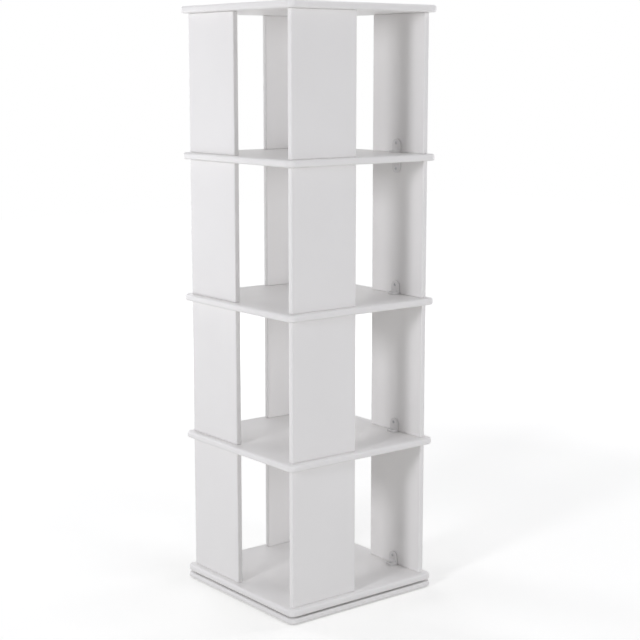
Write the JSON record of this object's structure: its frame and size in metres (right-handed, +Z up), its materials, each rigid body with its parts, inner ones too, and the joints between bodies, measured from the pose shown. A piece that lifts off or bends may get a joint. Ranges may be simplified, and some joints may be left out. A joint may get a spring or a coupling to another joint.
{
  "type": "revolving bookcase",
  "caption": "White square bookcase of stacked open tiers, with pinwheel side panels between square shelves, that turns without end on a ring bearing over a fixed base board.",
  "frame": {"origin": "on the floor, on the turning axis, in the middle of the base board", "axes": "+Z up along the turning axis; the front faces -Y, and +X is to the right"},
  "size_m": [0.4, 0.4, 1.293],
  "materials": {
    "white_board": "white satin laminate",
    "bracket_plastic": "moulded",
    "ring_aluminium": "satin",
    "ball_steel": "polished",
    "retainer_nylon": "moulded",
    "screw_steel": "zinc plated",
    "dowel_wood": "bare",
    "cap_plastic": "moulded",
    "rubber_pad": "matt"
  },
  "bodies": {
    "base": {"base_board": "white_board", "turntable_inner_ring": "ring_aluminium", "inner_ring_screws": "screw_steel", "front_foot_pad": "rubber_pad", "right_foot_pad": "rubber_pad", "back_foot_pad": "rubber_pad", "left_foot_pad": "rubber_pad"},
    "ball_set": {"turntable_balls": "ball_steel", "turntable_ball_retainer": "retainer_nylon"},
    "case": {"back_foot_bracket_tier_1": "bracket_plastic", "back_foot_bracket_tier_2": "bracket_plastic", "back_foot_bracket_tier_3": "bracket_plastic", "back_foot_bracket_tier_4": "bracket_plastic", "back_head_bracket_tier_3": "bracket_plastic", "back_panel_tier_1": "white_board", "back_panel_tier_2": "white_board", "back_panel_tier_3": "white_board", "back_panel_tier_4": "white_board", "bottom_board": "white_board", "bracket_screws": "screw_steel", "front_foot_bracket_tier_1": "bracket_plastic", "front_foot_bracket_tier_2": "bracket_plastic", "front_foot_bracket_tier_3": "bracket_plastic", "front_foot_bracket_tier_4": "bracket_plastic", "front_head_bracket_tier_3": "bracket_plastic", "front_panel_tier_1": "white_board", "front_panel_tier_2": "white_board", "front_panel_tier_3": "white_board", "front_panel_tier_4": "white_board", "left_foot_bracket_tier_1": "bracket_plastic", "left_foot_bracket_tier_2": "bracket_plastic", "left_foot_bracket_tier_3": "bracket_plastic", "left_foot_bracket_tier_4": "bracket_plastic", "left_head_bracket_tier_3": "bracket_plastic", "left_panel_tier_1": "white_board", "left_panel_tier_2": "white_board", "left_panel_tier_3": "white_board", "left_panel_tier_4": "white_board", "lower_shelf": "white_board", "middle_shelf": "white_board", "outer_ring_screws": "screw_steel", "panel_dowels": "dowel_wood", "panel_screws": "screw_steel", "right_foot_bracket_tier_1": "bracket_plastic", "right_foot_bracket_tier_2": "bracket_plastic", "right_foot_bracket_tier_3": "bracket_plastic", "right_foot_bracket_tier_4": "bracket_plastic", "right_head_bracket_tier_3": "bracket_plastic", "right_panel_tier_1": "white_board", "right_panel_tier_2": "white_board", "right_panel_tier_3": "white_board", "right_panel_tier_4": "white_board", "top_board": "white_board", "top_screw_caps": "cap_plastic", "turntable_outer_ring": "ring_aluminium", "upper_shelf": "white_board"}
  },
  "joints": [
    {"name": "case_spin", "type": "hinge", "parent": "base", "child": "case", "pos_m": [0, 0, 0.016], "axis": [0, 0, 1], "continuous": true},
    {"name": "ball_set_roll", "type": "hinge", "parent": "base", "child": "ball_set", "pos_m": [0, 0, 0.016], "axis": [0, 0, 1], "continuous": true}
  ],
  "couplings": [
    {"joint": "ball_set_roll", "follows": "case_spin", "ratio": 0.5}
  ]
}
